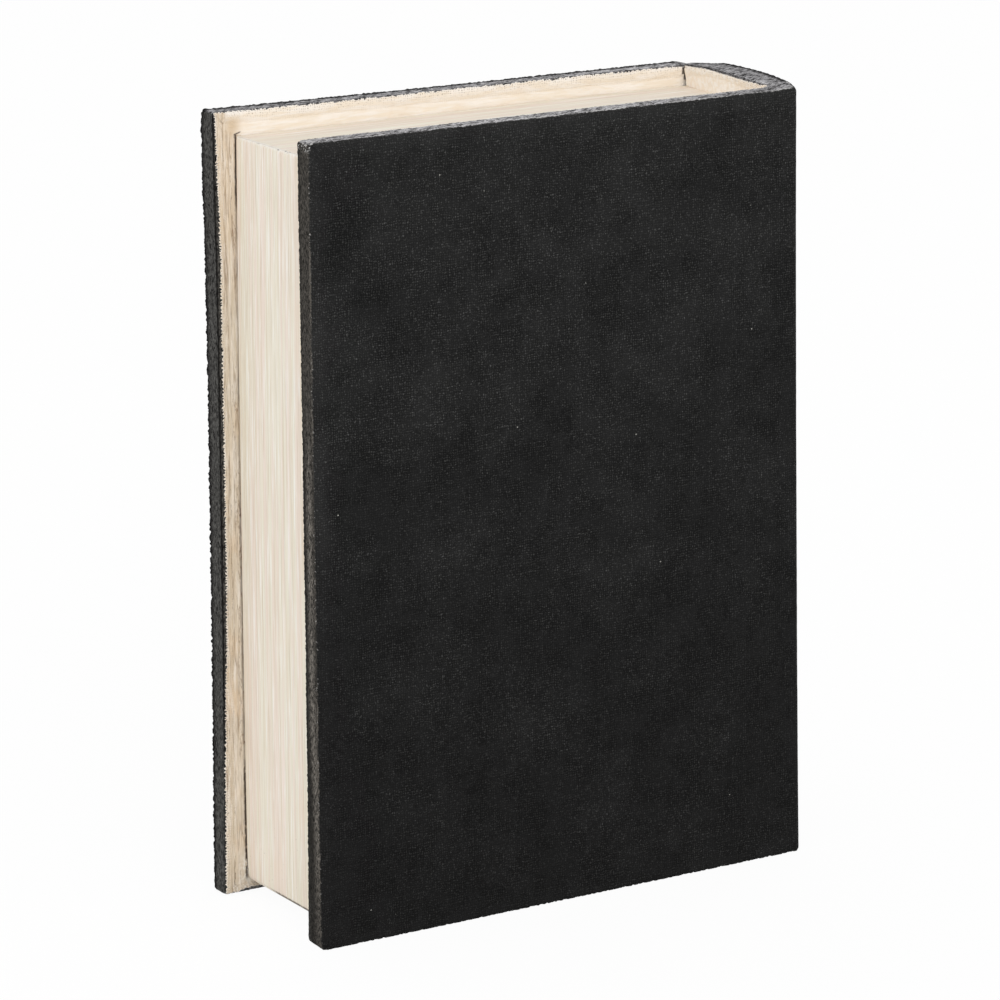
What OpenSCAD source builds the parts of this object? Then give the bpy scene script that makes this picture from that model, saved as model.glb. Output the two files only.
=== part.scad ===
// Book box: a keepsake box made like a cloth-bound book that stands on its tail.
// X runs from the fore-edge to the spine, Y from the back cover to the lid, Z from tail to head.
// The origin is the middle of the book's outline, on the surface that its tail stands on.

/* [Book] */
// Height of the boards, from tail to head
book_h = 270; // [200:1:340]
// Width over all, from the fore-edge of the boards to the crown of the spine
book_w = 196; // [150:1:250]
// Thickness over all, from the back cover to the lid
book_t = 74; // [50:1:95]

/* [Boards] */
// Thickness of each cover board without its cloth
board_t = 7.3; // [4:0.1:12]
// How far the boards stand out past the page block at the fore-edge
fore_overhang = 8.5; // [5:0.1:14]
// How far the boards stand out past the page block at the head
head_overhang = 7.6; // [4:0.1:12]
// How far the boards stand out past the page block at the tail
tail_overhang = 4.6; // [3:0.1:10]
// Radius of the rounded arrises along the fore-edge and the back end of a board
arris_r = 1.4; // [1:0.1:2.5]
// Radius of the rounded corners of the boards, seen from the front
corner_r = 1.8; // [1:0.1:3]

/* [Spine] */
// Radius of the rounded outside of the spine
spine_r = 110; // [90:1:180]
// How far the crown of the spine lies from the middle of the book towards the lid
crown_shift = 2; // [0:0.5:5]
// Depth of the spine moulding at its crown, without its cloth
spine_depth = 12.3; // [10:0.1:20]
// Radius where the spine rolls into the back cover
roll_r = 3; // [1.5:0.5:5]
// Radius of the nose of the spine beside the hinge
nose_r = 5; // [2:0.5:6]

/* [Hinge] */
// Distance from the crown of the spine back to the end of the lid
lid_setback = 7; // [6.5:0.1:8]
// Width of the open joint between the spine moulding and the lid board
joint_gap = 1.4; // [1.2:0.1:2.5]

/* [Page block] */
// Thickness of the four walls of the page block
wall_t = 8; // [7:0.5:14]
// Gap between the rim of the page block and the closed lid
rim_gap = 0.4; // [0.2:0.1:1]
// Mean distance between the grooves that stand for page edges
groove_pitch = 1.75; // [1.2:0.05:4]
// Width of a groove at the surface
groove_w = 0.7; // [0.4:0.1:1]
// Depth of the deepest groove
groove_d = 0.5; // [0.2:0.1:0.8]

/* [Cloth] */
// Thickness of the canvas with its paint
cloth_t = 0.7; // [0.4:0.1:1]
// Width of the canvas turned in over the inner faces of the boards
turn_in_w = 5.4; // [2:0.1:8]
// Least bare strip between a turn-in and the page block
turn_in_clear = 0.8; // [0.5:0.1:2]

/* [Magnets] */
// Diameter of the two closing magnets
magnet_d = 5; // [3:0.5:5]
// Thickness of each magnet
magnet_h = 3; // [1:0.5:3.5]
// Clearance round a magnet in its pocket
magnet_fit = 0.1; // [0.05:0.05:0.2]

/* [Hidden] */

// Facets that the preview uses for the long arc of the spine and for the small arcs
arc_fn = 360;
small_fn = 48;
// How far a cutting shape runs past what it cuts
over = 1.5;

// Outer faces of the cloth
fore_x = -book_w / 2;
crown_x = book_w / 2;
back_y = -book_t / 2;
front_y = book_t / 2;
lid_end_x = crown_x - lid_setback;

// Faces of the bare boards
wood_fore_x = fore_x + cloth_t;
wood_end_x = lid_end_x - cloth_t;
base_in_y = back_y + cloth_t + board_t;
lid_in_y = front_y - cloth_t - board_t;

// Spine section: the long arc, the roll at the back cover and the nose at the hinge
spine_in_x = crown_x - cloth_t - spine_depth;
nose_y = lid_in_y - joint_gap + cloth_t;
arc_c = [crown_x - spine_r, crown_shift];
roll_c = arc_point(spine_r - roll_r, back_y + roll_r);
nose_c = arc_point(spine_r - nose_r, nose_y - nose_r);

// Page block: outer faces, inner faces and rim
block_fore_x = fore_x + fore_overhang;
block_head_z = book_h - head_overhang;
block_tail_z = tail_overhang;
rim_y = lid_in_y - rim_gap;
groove_count = floor((rim_y - base_in_y) / groove_pitch);

// Turn-ins stop short of the page block and of the spine
turn_in_fore = min(turn_in_w, fore_overhang - turn_in_clear);
turn_in_head = min(turn_in_w, head_overhang - turn_in_clear);
turn_in_tail = min(turn_in_w, tail_overhang - turn_in_clear);
turn_in_end_x = spine_in_x - cloth_t;

// The magnets face each other at the middle of the fore-edge wall
magnet_x = block_fore_x + groove_d + (wall_t - groove_d) / 2;
magnet_z = (block_tail_z + block_head_z) / 2;

// Point at height y on a circle of radius r about the centre of the spine's arc
function arc_point(r, y) = [arc_c[0] + sqrt(r * r - (y - arc_c[1]) * (y - arc_c[1])), y];

function unit(v) = v / norm(v);

// Groove i: its place across the block strays a little, and so does its depth, as page edges do
function groove_y(i) = base_in_y + (i + 0.5) * groove_pitch + 0.16 * groove_pitch * sin(i * 137.5);
function groove_depth(i) = groove_d * (0.75 + 0.25 * sin(i * 71));

// Points down one grooved face, from the base board to the rim, as [height above the face, y]
function grooved_edge() = concat(
  [[0, base_in_y]],
  [for (i = [0 : groove_count - 1]) each [
    [0, groove_y(i) - groove_w / 2],
    [-groove_depth(i), groove_y(i)],
    [0, groove_y(i) + groove_w / 2]
  ]],
  [[0, rim_y]]
);

// The waste outside a small arc of radius r about c, between its two normals
module arc_waste(c, normal_a, normal_b, r) {
  difference() {
    polygon([
      c,
      c + normal_a * (r + over),
      c + unit(normal_a + normal_b) * (2 * r + over),
      c + normal_b * (r + over)
    ]);
    translate(c) circle(r = r, $fn = small_fn);
  }
}

// Section of the base board and the spine together, drawn in by inset from the outside of the cloth
module case_section(inset) {
  difference() {
    intersection() {
      translate([fore_x + inset, back_y + inset]) square([book_w, nose_y - back_y - 2 * inset]);
      translate(arc_c) circle(r = spine_r - inset, $fn = arc_fn);
    }
    arc_waste([fore_x, back_y] + [arris_r, arris_r], [-1, 0], [0, -1], arris_r - inset);
    arc_waste(roll_c, [0, -1], unit(roll_c - arc_c), roll_r - inset);
    arc_waste(nose_c, [0, 1], unit(nose_c - arc_c), nose_r - inset);
  }
}

// Section of the lid, drawn in by inset from the outside of the cloth, down to the given y
module lid_section(inset, low_y) {
  difference() {
    translate([fore_x + inset, low_y]) square([lid_end_x - fore_x - 2 * inset, front_y - inset - low_y]);
    arc_waste([fore_x + arris_r, front_y - arris_r], [-1, 0], [0, 1], arris_r - inset);
    arc_waste([lid_end_x - arris_r, front_y - arris_r], [1, 0], [0, 1], arris_r - inset);
  }
}

// Section of the base board, drawn in by inset, from the back cover to the given y and x
module base_section(inset, high_y, end_x) {
  intersection() {
    case_section(inset);
    translate([fore_x, back_y]) square([end_x - fore_x, high_y - back_y]);
  }
}

// Section of the bare spine moulding, which stands on the base board
module moulding_section() {
  intersection() {
    case_section(cloth_t);
    translate([spine_in_x, base_in_y]) square([book_w, book_t]);
  }
}

// A section raised to the height of the boards, drawn in by inset at both ends
module upright(inset) {
  translate([0, 0, inset]) linear_extrude(book_h - 2 * inset) children();
}

// A shape drawn in X and Z, carried right through the book along Y
module along_y() {
  translate([0, front_y + over, 0]) rotate([90, 0, 0]) linear_extrude(book_t + 2 * over) children();
}

// What rounds the two corners of a board at the end that lies in the direction of side
module corner_waste(end_x, side, inset) {
  for (up = [-1, 1])
    arc_waste(
      [end_x - side * corner_r, book_h / 2 + up * (book_h / 2 - corner_r)],
      [side, 0], [0, up], corner_r - inset
    );
}

// The base board, drawn in by inset from the outside of the cloth
module base_blank(inset, high_y, end_x) {
  difference() {
    upright(inset) base_section(inset, high_y, end_x);
    along_y() corner_waste(fore_x, -1, inset);
  }
}

// The lid, drawn in by inset from the outside of the cloth
module lid_blank(inset) {
  difference() {
    upright(inset) lid_section(inset, lid_in_y);
    along_y() corner_waste(fore_x, -1, inset);
    along_y() corner_waste(lid_end_x, 1, inset);
  }
}

// The two layers of canvas that cover a section's head and tail ends
module end_caps() {
  for (z = [0, book_h - cloth_t]) translate([0, 0, z]) linear_extrude(cloth_t) children();
}

// The part of a board's inner face that the turned-in canvas leaves bare
module bare_window(in_y) {
  translate([fore_x + turn_in_fore, in_y - over, turn_in_tail])
    cube([wood_end_x - fore_x - turn_in_fore, 2 * over, book_h - turn_in_head - turn_in_tail]);
}

// The side of the spine moulding that faces the lid, which stays bare
module bare_joint() {
  translate([fore_x, nose_y - cloth_t]) square([wood_end_x - fore_x, book_t]);
}

// A grooved wall that runs along X, with its outer face at face_z and its inside below or above it
module page_rail(face_z, side) {
  section = concat(
    [for (p = grooved_edge()) [p[1], face_z + side * p[0]]],
    [[rim_y, face_z - side * wall_t], [base_in_y, face_z - side * wall_t]]
  );
  intersection() {
    translate([block_fore_x, 0, 0]) rotate([90, 0, 90])
      linear_extrude(spine_in_x - block_fore_x) polygon(section);
    along_y() polygon([
      [block_fore_x, face_z],
      [block_fore_x + wall_t, face_z - side * wall_t],
      [spine_in_x + over, face_z - side * wall_t],
      [spine_in_x + over, face_z + side * over],
      [block_fore_x - over, face_z + side * over]
    ]);
  }
}

// Pocket for a magnet, cut down from the face at y in the direction of side
module magnet_pocket(y, side) {
  translate([magnet_x, y - side * over, magnet_z]) rotate([-side * 90, 0, 0])
    cylinder(h = magnet_h + over, d = magnet_d + 2 * magnet_fit, $fn = small_fn);
}

// A magnet with one face flush at y
module magnet(y, side) {
  translate([magnet_x, y, magnet_z]) rotate([-side * 90, 0, 0])
    cylinder(h = magnet_h, d = magnet_d, $fn = small_fn);
}

// Back cover of the book, the floor of the box
module base_board() {
  color("wheat") base_blank(cloth_t, base_in_y, crown_x);
}

// Rounded spine, flat inside, glued to the base board and to the page block
module spine_moulding() {
  color("wheat") upright(cloth_t) moulding_section();
}

// Front wall of the box, grooved like page edges and mitred at both ends
module fore_edge_wall() {
  section = concat(
    [for (p = grooved_edge()) [block_fore_x - p[0], p[1]]],
    [[block_fore_x + wall_t, rim_y], [block_fore_x + wall_t, base_in_y]]
  );
  color("linen") difference() {
    intersection() {
      translate([0, 0, block_tail_z])
        linear_extrude(block_head_z - block_tail_z) polygon(section);
      along_y() polygon([
        [block_fore_x, block_tail_z],
        [block_fore_x + wall_t, block_tail_z + wall_t],
        [block_fore_x + wall_t, block_head_z - wall_t],
        [block_fore_x, block_head_z],
        [block_fore_x - over, block_head_z],
        [block_fore_x - over, block_tail_z]
      ]);
    }
    magnet_pocket(rim_y, -1);
  }
}

// Wall at the head of the box
module head_wall() {
  color("linen") page_rail(block_head_z, 1);
}

// Wall at the tail of the box
module tail_wall() {
  color("linen") page_rail(block_tail_z, -1);
}

// Plain wall that closes the frame behind the spine moulding
module spine_wall() {
  color("linen")
    translate([spine_in_x - wall_t, base_in_y, block_tail_z + wall_t])
      cube([wall_t, rim_y - base_in_y, block_head_z - block_tail_z - 2 * wall_t]);
}

// Closing magnet in the rim of the fore-edge wall
module rim_magnet() {
  color("silver") magnet(rim_y, -1);
}

// Canvas over the base board: outer face, fore-edge, head, tail and turn-ins
module base_cloth() {
  color("dimgray") {
    difference() {
      union() {
        base_blank(0, base_in_y, roll_c[0]);
        base_blank(0, base_in_y + cloth_t, turn_in_end_x);
      }
      base_blank(cloth_t, base_in_y, crown_x);
      bare_window(base_in_y);
    }
    intersection() {
      end_caps() base_section(cloth_t, base_in_y, crown_x);
      base_blank(0, base_in_y, crown_x);
    }
  }
}

// Canvas over the spine, from the roll at the back cover to the nose at the hinge
module spine_cloth() {
  color("dimgray") {
    linear_extrude(book_h) difference() {
      intersection() {
        case_section(0);
        translate([roll_c[0], back_y]) square([book_w, book_t]);
      }
      case_section(cloth_t);
      bare_joint();
    }
    end_caps() difference() {
      intersection() {
        case_section(0);
        translate([turn_in_end_x, base_in_y]) square([book_w, book_t]);
      }
      bare_joint();
    }
    for (strip = [[0, turn_in_tail], [book_h - turn_in_head, turn_in_head]])
      translate([turn_in_end_x, base_in_y, strip[0]])
        cube([cloth_t, nose_y - cloth_t - base_in_y, strip[1]]);
  }
}

// Canvas that crosses the joint and bends as the lid opens
module hinge_cloth() {
  color("dimgray")
    translate([wood_end_x, nose_y, 0]) cube([cloth_t, lid_in_y - nose_y, book_h]);
}

// Front cover of the book, the lid of the box
module lid_board() {
  color("wheat") difference() {
    lid_blank(cloth_t);
    magnet_pocket(lid_in_y, 1);
  }
}

// Closing magnet in the inner face of the lid
module lid_magnet() {
  color("silver") magnet(lid_in_y, 1);
}

// Canvas over the lid: outer face, fore-edge, back end, head, tail and turn-ins
module lid_cloth() {
  color("dimgray") difference() {
    union() {
      lid_blank(0);
      difference() {
        translate([fore_x, lid_in_y - cloth_t, 0])
          cube([turn_in_end_x - fore_x, board_t, book_h]);
        along_y() corner_waste(fore_x, -1, 0);
      }
    }
    lid_blank(cloth_t);
    bare_window(lid_in_y);
  }
}

base_board();
spine_moulding();
fore_edge_wall();
head_wall();
tail_wall();
spine_wall();
rim_magnet();
base_cloth();
spine_cloth();
hinge_cloth();
lid_board();
lid_magnet();
lid_cloth();
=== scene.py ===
import math

import bmesh
import bpy
import numpy as np
from mathutils import Matrix, Vector


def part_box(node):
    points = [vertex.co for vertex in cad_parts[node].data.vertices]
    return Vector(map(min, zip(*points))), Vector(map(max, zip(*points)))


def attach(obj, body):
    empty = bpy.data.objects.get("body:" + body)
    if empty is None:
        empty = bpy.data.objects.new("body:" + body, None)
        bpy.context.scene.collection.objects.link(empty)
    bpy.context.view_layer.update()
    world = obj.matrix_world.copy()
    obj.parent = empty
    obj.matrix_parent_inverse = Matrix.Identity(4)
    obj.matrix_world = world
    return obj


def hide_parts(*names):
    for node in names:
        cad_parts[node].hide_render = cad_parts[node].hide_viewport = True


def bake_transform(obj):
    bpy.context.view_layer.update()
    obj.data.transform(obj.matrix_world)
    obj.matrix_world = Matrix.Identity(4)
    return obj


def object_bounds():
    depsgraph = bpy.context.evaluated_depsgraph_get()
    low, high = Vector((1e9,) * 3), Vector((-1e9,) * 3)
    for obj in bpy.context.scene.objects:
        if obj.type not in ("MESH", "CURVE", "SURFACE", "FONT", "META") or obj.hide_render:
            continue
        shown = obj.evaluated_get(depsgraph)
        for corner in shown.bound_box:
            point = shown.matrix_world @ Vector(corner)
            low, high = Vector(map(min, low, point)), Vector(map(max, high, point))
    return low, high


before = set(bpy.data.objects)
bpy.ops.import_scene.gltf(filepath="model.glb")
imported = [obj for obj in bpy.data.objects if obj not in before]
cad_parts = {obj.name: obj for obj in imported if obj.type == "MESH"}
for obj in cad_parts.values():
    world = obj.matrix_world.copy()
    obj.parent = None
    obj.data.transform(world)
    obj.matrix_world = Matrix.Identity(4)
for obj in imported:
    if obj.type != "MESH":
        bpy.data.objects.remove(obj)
cadLow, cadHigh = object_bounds()
mm = 0.001

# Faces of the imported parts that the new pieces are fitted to
baseLow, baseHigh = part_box("base_cloth")
spineLow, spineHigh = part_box("spine_cloth")
lidLow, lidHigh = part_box("lid_cloth")
mouldLow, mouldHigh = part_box("spine_moulding")
foreLow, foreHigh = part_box("fore_edge_wall")
hingeLow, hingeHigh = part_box("hinge_cloth")
bookHeight = cadHigh.z
blockTop, blockFoot = foreHigh.z, foreLow.z
print("frame loaded, book height", round(bookHeight, 4))


# Small tools for arrays and meshes


def smoothStep(value, low, high):
    # 0 below low, 1 above high, and the curve 3t2 - 2t3 between them
    t = np.clip((value - low) / (high - low), 0, 1)
    return t * t * (3 - 2 * t)


def latticeNoise(points, cell, seed):
    # Value noise from -1 to 1: a random number at each corner of a lattice of that cell size,
    # mixed over x, y and z by smooth steps
    spot = points / cell
    base = np.floor(spot).astype(np.int64)
    part = spot - base
    part = part * part * (3 - 2 * part)
    total = np.zeros(len(points))
    primes = np.array([73856093, 19349663, 83492791])
    for corner in np.ndindex(2, 2, 2):
        key = (base + np.array(corner)) * primes
        mixed = key[:, 0] ^ key[:, 1] ^ key[:, 2] ^ (seed * 2654435761)
        mixed = (mixed ^ (mixed >> 13)) * 1274126177 & 0xFFFFFFFF
        mixed = (mixed ^ (mixed >> 16)) & 0xFFFF
        weight = np.prod(np.where(np.array(corner), part, 1 - part), axis=1)
        total += weight * (mixed / 32767.5 - 1)
    return total


def gridFaces(index, closed=False):
    # Quads between neighbouring rows and columns of a table of vertex numbers
    if closed:
        index = np.concatenate([index, index[:, :1]], axis=1)
    a, b = index[:-1, :-1], index[1:, :-1]
    c, d = index[1:, 1:], index[:-1, 1:]
    return np.stack([a, b, c, d], axis=-1).reshape(-1, 4)


def makePiece(name, points, quads, extra=(), uv=None, marks=None, smooth=True):
    # A mesh object at the origin from an array of points and quads, with polygons of any length added
    faces = quads.tolist() + [list(map(int, f)) for f in extra]
    mesh = bpy.data.meshes.new(name)
    mesh.from_pydata(points.tolist(), [], faces)
    mesh.update()
    if uv is not None:
        layer = mesh.uv_layers.new(name="clothMap")
        corner = np.zeros(len(mesh.loops), np.int32)
        mesh.loops.foreach_get("vertex_index", corner)
        layer.data.foreach_set("uv", uv[corner].astype(np.float32).ravel())
    for key, values in (marks or {}).items():
        mark = mesh.attributes.new(key, "FLOAT", "POINT")
        mark.data.foreach_set("value", np.asarray(values, np.float32))
    mesh.polygons.foreach_set("use_smooth", np.full(len(mesh.polygons), smooth))
    piece = bpy.data.objects.new(name, mesh)
    bpy.context.scene.collection.objects.link(piece)
    return piece


def pushAlongNormals(piece, amount):
    # Every point moves along its own normal by its own amount
    mesh = piece.data
    count = len(mesh.vertices)
    points = np.zeros(count * 3, np.float32)
    normals = np.zeros(count * 3, np.float32)
    mesh.vertices.foreach_get("co", points)
    mesh.vertex_normals.foreach_get("vector", normals)
    moved = points.reshape(-1, 3) + normals.reshape(-1, 3) * np.asarray(amount)[:, None]
    mesh.vertices.foreach_set("co", moved.astype(np.float32).ravel())
    mesh.update()


# Camera: the photograph's long lens, seen from the front and the fore-edge

shot = {
    "aim": (-8 * mm, -3 * mm, 135 * mm),
    "azimuth": -31.538,
    "elevation": 14.502,
    "roll": -0.415,
    "distance": 1653.4 * mm,
    "aimRight": 0.059 * mm,
    "aimUp": -1.217 * mm,
    "focalPixels": 4874.4,
    "framePixels": 1000,
    "sensor": 36.0,
}


def setCamera():
    # The aim point moves a little across the view, and the camera stands back from it along the view line
    a, e, r = (math.radians(shot[k]) for k in ("azimuth", "elevation", "roll"))
    back = np.array([math.sin(a) * math.cos(e), -math.cos(a) * math.cos(e), math.sin(e)])
    level = np.array([math.cos(a), math.sin(a), 0])
    upright = np.cross(back, level)
    right = math.cos(r) * level + math.sin(r) * upright
    up = -math.sin(r) * level + math.cos(r) * upright
    aim = np.array(shot["aim"]) + shot["aimRight"] * right + shot["aimUp"] * up
    place = aim + shot["distance"] * back
    data = bpy.data.cameras.new("photoCamera")
    data.sensor_width = shot["sensor"]
    data.lens = shot["focalPixels"] * shot["sensor"] / shot["framePixels"]
    data.clip_start, data.clip_end = 0.05, 50
    camera = bpy.data.objects.new("photoCamera", data)
    turn = np.eye(4)
    turn[:3, 0], turn[:3, 1], turn[:3, 2], turn[:3, 3] = right, up, back, place
    camera.matrix_world = Matrix(turn.tolist())
    bpy.context.scene.collection.objects.link(camera)
    bpy.context.scene.camera = camera


setCamera()
print("camera set")


# Shader tools


def tone(red, green, blue):
    # A colour as a screen shows it, 0 to 255, turned to the linear values that shaders use
    seen = np.array([red, green, blue]) / 255
    flat = np.where(seen <= 0.04045, seen / 12.92, ((seen + 0.055) / 1.055) ** 2.4)
    return (*map(float, flat), 1.0)


def setSockets(node, sockets):
    # Each socket gets a number or colour, or is joined to another node's output
    for key, value in sockets.items():
        if isinstance(value, bpy.types.NodeSocket):
            node.id_data.links.new(value, node.inputs[key])
        else:
            node.inputs[key].default_value = value


def addNode(kind, sockets, tree=None, **settings):
    # A node with its sockets and settings, in the tree that it is joined to where none is given
    joined = [value.id_data for value in sockets.values() if isinstance(value, bpy.types.NodeSocket)]
    made = (tree or joined[0]).nodes.new("ShaderNode" + kind)
    for key, value in settings.items():
        setattr(made, key, value)
    setSockets(made, sockets)
    return made


def calc(operation, *values):
    # One step of arithmetic, named as Blender names it
    return addNode("Math", dict(enumerate(values)), operation=operation).outputs[0]


def product(first, *others):
    # The values multiplied together
    for other in others:
        first = calc("MULTIPLY", first, other)
    return first


def highest(first, *others):
    # The largest of the values
    for other in others:
        first = calc("MAXIMUM", first, other)
    return first


def scaled(value, factor, added):
    # The value times a factor, plus what is added
    return calc("MULTIPLY_ADD", value, factor, added)


def shifted(value, field, amount):
    # The value moved by a noise: value + amount (noise - 1/2)
    return scaled(calc("SUBTRACT", field, 0.5), amount, value)


def opposite(value):
    # 1 less the value
    return calc("SUBTRACT", 1.0, value)


def remap(value, low, high, newLow=0.0, newHigh=1.0):
    # A smooth step from the new low at low to the new high at high
    sockets = {"Value": value, "From Min": low, "From Max": high, "To Min": newLow, "To Max": newHigh}
    return addNode("MapRange", sockets, interpolation_type="SMOOTHSTEP").outputs[0]


def bell(value, middle, half):
    # 1 at the middle, falling to 0 at the given distance on either side
    away = calc("ABSOLUTE", calc("SUBTRACT", value, middle))
    return remap(away, half, 0.0)


def mixValue(share, first, second):
    # The first number at share 0, the second at share 1
    return addNode("Mix", {0: share, 2: first, 3: second}).outputs[0]


def blendColours(share, first, second):
    # The first colour at share 0, the second at share 1
    return addNode("Mix", {0: share, 6: first, 7: second}, data_type="RGBA").outputs[2]


def layered(colour, *layers):
    # Colours laid over a ground one after another, each with the share that it covers
    for share, over in layers:
        colour = blendColours(share, colour, over)
    return colour


def noise(place, scale, detail=3.0, rough=0.55, bend=0.0):
    # Soft noise from 0 to 1, with an average of about 1/2
    sockets = {"Vector": place, "Scale": scale, "Detail": detail, "Roughness": rough, "Distortion": bend}
    return addNode("TexNoise", sockets).outputs["Fac"]


def fibres(place, along, length, width, shift, *rest):
    # A noise that is long along one axis and narrow across it
    scale = [width] * 3
    scale["xyz".index(along)] = length
    stretched = addNode("Mapping", {"Vector": place, "Location": shift, "Scale": scale})
    return noise(stretched.outputs[0], 1.0, *rest)


def bump(height, distance, strength):
    # The normal of a surface raised by height times distance
    sockets = {"Height": height, "Distance": distance, "Strength": strength}
    return addNode("Bump", sockets).outputs[0]


def mark(place, name):
    # A number that the mesh carries at its points, read in the tree of the coordinates
    return addNode("Attribute", {}, place.id_data, attribute_name=name).outputs["Fac"]


def split(vector):
    # The x, y and z of a vector
    return list(addNode("SeparateXYZ", {0: vector}).outputs)


def newMaterial(name):
    # An empty node material and the object coordinates in metres
    material = bpy.data.materials.new(name)
    material.use_nodes = True
    return material, addNode("TexCoord", {}, material.node_tree).outputs["Object"]


def finishMaterial(material, colour, roughness, specular, **others):
    # The principled shader gets its colour, roughness and level of specular light, and any others
    sockets = {"Base Color": colour, "Roughness": roughness, "Specular IOR Level": specular, **others}
    setSockets(material.node_tree.nodes["Principled BSDF"], sockets)
    return material


# Brushed cream paint, on the boards, the spine and the page block

# The page block's sizes stand here because the line of soiling and painted shade in the paint follows its
# lean
block = {
    "thick": 8 * mm,
    "round": 0.6 * mm,
    "tailRound": 1.7 * mm,
    "lean": 0.15 * mm,
    "tailLean": 1.6 * mm,
    "crack": 0.004 * mm,
    "lineStep": 0.24 * mm,
    "runStep": 3.2 * mm,
    "strongPitch": 2.3 * mm,
    "strongDepth": 0.1 * mm,
    "fineDepth": 0.06 * mm,
    "fineCount": 34,
    "pitchStray": 0.7 * mm,
    "lineWidth": (0.2 * mm, 0.36 * mm),
    "strays": ((0.14 * mm, 31 * mm, 1.7 * mm), (0.08 * mm, 9 * mm, 0.6 * mm)),
    "swellRun": (17 * mm, 0.9 * mm),
    "rim": (0.3, 0.8, 1.6, 4.0, 6.4, 7.4, 8.0),
    "floor": (5.0, 2.0),
    "endShare": 0.45,
    "tailReach": 12 * mm,
    "foreReach": 14 * mm,
    "leanReach": 16 * mm,
}

# A noise is given as scale, detail, roughness and distortion; fibres have the scale along them, the
# scale across them and a shift before the last three
cream = {
    "light": tone(254, 248, 240),
    "body": tone(248, 237, 221),
    "warm": tone(243, 223, 199),
    "stain": tone(190, 164, 132),
    "ochre": tone(193, 176, 149),
    "orange": tone(206, 179, 142),
    "grimeAndShade": tone(48, 32, 24),
    "crack": tone(134, 104, 76),
    "bare": tone(58, 44, 34),
    "chalk": tone(247, 244, 237),
    "foreEdge": -89.5 * mm,
    "jointSide": 87.8 * mm,
    "jointDepth": 28.05 * mm,
    "jointFace": 28.6 * mm,
    "farSide": 20 * mm,
    "dirtShadeHead": (232 * mm, 243 * mm),
    "dirtShadeTail": (52 * mm, 42 * mm),
    "orangeHead": (200 * mm, 240 * mm),
    "patches": (38.0, 4.0, 0.62, 0.6),
    "grain": (2600.0, 2.0),
    "gloss": (300.0, 3.0),
    "ragged": (420.0, 3.0, 0.65),
    "dirtShadePlaces": (60.0, 2.0),
    "crackPlaces": (62.0, 3.0),
    "crackWidth": (800.0, 2.0),
    "jointStray": (480.0, 3.0),
    "orangePlaces": (55.0, 3.0, 0.6),
    "chalkPlaces": (700.0, 3.0, 0.7),
    "strokes": (70, 522.5, (1, 2, 3), 4.0, 0.62, 0.5),
    "bristles": (140, 1900, (3, 7, 1), 3.0, 0.55, 0.3),
    "streaks": (120, 1300, (9, 4, 2), 5.0, 0.72),
    "veins": (14, 420, (6, 3, 8), 4.0, 0.6, 0.3),
    "cracks": (34, 210, (3, 1, 2), 5.0, 0.62, 0.6),
}


def dirtAndShadeLine(place, x, z):
    # A brown line where the page block meets the lid, partly soiling and partly painted shade in the
    # gap: strong near the head, weak at mid-height and ragged near the tail, with a short hook of
    # painted shade over the block's corner
    edge = cream["foreEdge"]
    share = calc("DIVIDE", z, bookHeight)
    lean = scaled(product(share, share), -block["tailLean"], block["tailLean"] + block["lean"])
    x = calc("ADD", x, lean)
    ragged = noise(place, *cream["ragged"])
    head = remap(z, *cream["dirtShadeHead"])
    tail = product(remap(z, *cream["dirtShadeTail"]), remap(ragged, 0.3, 0.5))
    middle = remap(noise(place, *cream["dirtShadePlaces"]), 0.35, 0.65, 0.15, 0.5)
    line = product(
        bell(shifted(x, ragged, 0.7 * mm), edge + 0.1 * mm, 0.75 * mm),
        highest(middle, head, tail),
        remap(z, blockTop + 0.6 * mm, blockTop + 0.2 * mm),
        remap(z, blockFoot - 1.5 * mm, blockFoot + 1.5 * mm),
    )
    hook = product(
        bell(scaled(x, -0.3, z), blockTop + 0.5 * mm - 0.3 * edge, 0.4 * mm),
        remap(x, edge + 2.4 * mm, edge + 1.4 * mm),
        remap(x, edge - 0.8 * mm, edge - 0.2 * mm),
    )
    return highest(line, hook)


def headPatch(x, y, z, patches):
    # An orange stain at the head of the lid's fore-edge
    side = bell(x, cream["foreEdge"] - 1.5 * mm, 5 * mm)
    high = bell(z, blockTop + 3 * mm, 6 * mm)
    far = calc("GREATER_THAN", y, cream["farSide"])
    return product(side, high, remap(patches, 0.3, 0.6, 0.3, 0.7), far)


def crackle(place, x):
    # Fine brown cracks that run down the strip near the block and wander: level lines of a long noise,
    # in patches
    field = fibres(place, "z", *cream["cracks"])
    where = remap(noise(place, *cream["crackPlaces"]), 0.38, 0.54, 0.1, 0.9)
    beside = bell(x, cream["foreEdge"] - 1.8 * mm, 2.8 * mm)
    thin = remap(noise(place, *cream["crackWidth"]), 0.3, 0.6, 0.35, 1.0)
    return product(bell(field, 0.5, 0.022), where, beside, thin)


def paintedJointShade(place, x, y, z):
    # The open joint between the spine and the lid, in painted shade: dark colour behind the spine's
    # inner face, and a dark line on that face that widens to a blot at the head and stops above the
    # page block
    side, face = cream["jointSide"], cream["jointFace"]
    wide = remap(z, blockTop + 5.9 * mm, blockTop + 6.5 * mm, 0.0, 0.9 * mm)
    wide = shifted(wide, noise(place, *cream["jointStray"]), 0.45 * mm)
    edge = calc("SUBTRACT", cream["jointDepth"], wide)
    line = product(
        remap(calc("SUBTRACT", y, edge), -0.1 * mm, 0.1 * mm),
        remap(x, side - 1.2 * mm, side - 0.8 * mm),
        calc("LESS_THAN", y, face),
    )
    behind = product(remap(x, side, side + 0.2 * mm), calc("GREATER_THAN", y, face))
    return product(
        highest(behind, line),
        remap(z, blockTop + 1.6 * mm, blockTop + 2.2 * mm),
        remap(z, blockTop + 5.8 * mm, blockTop + 6.2 * mm, 0.85, 1.0),
    )


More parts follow.
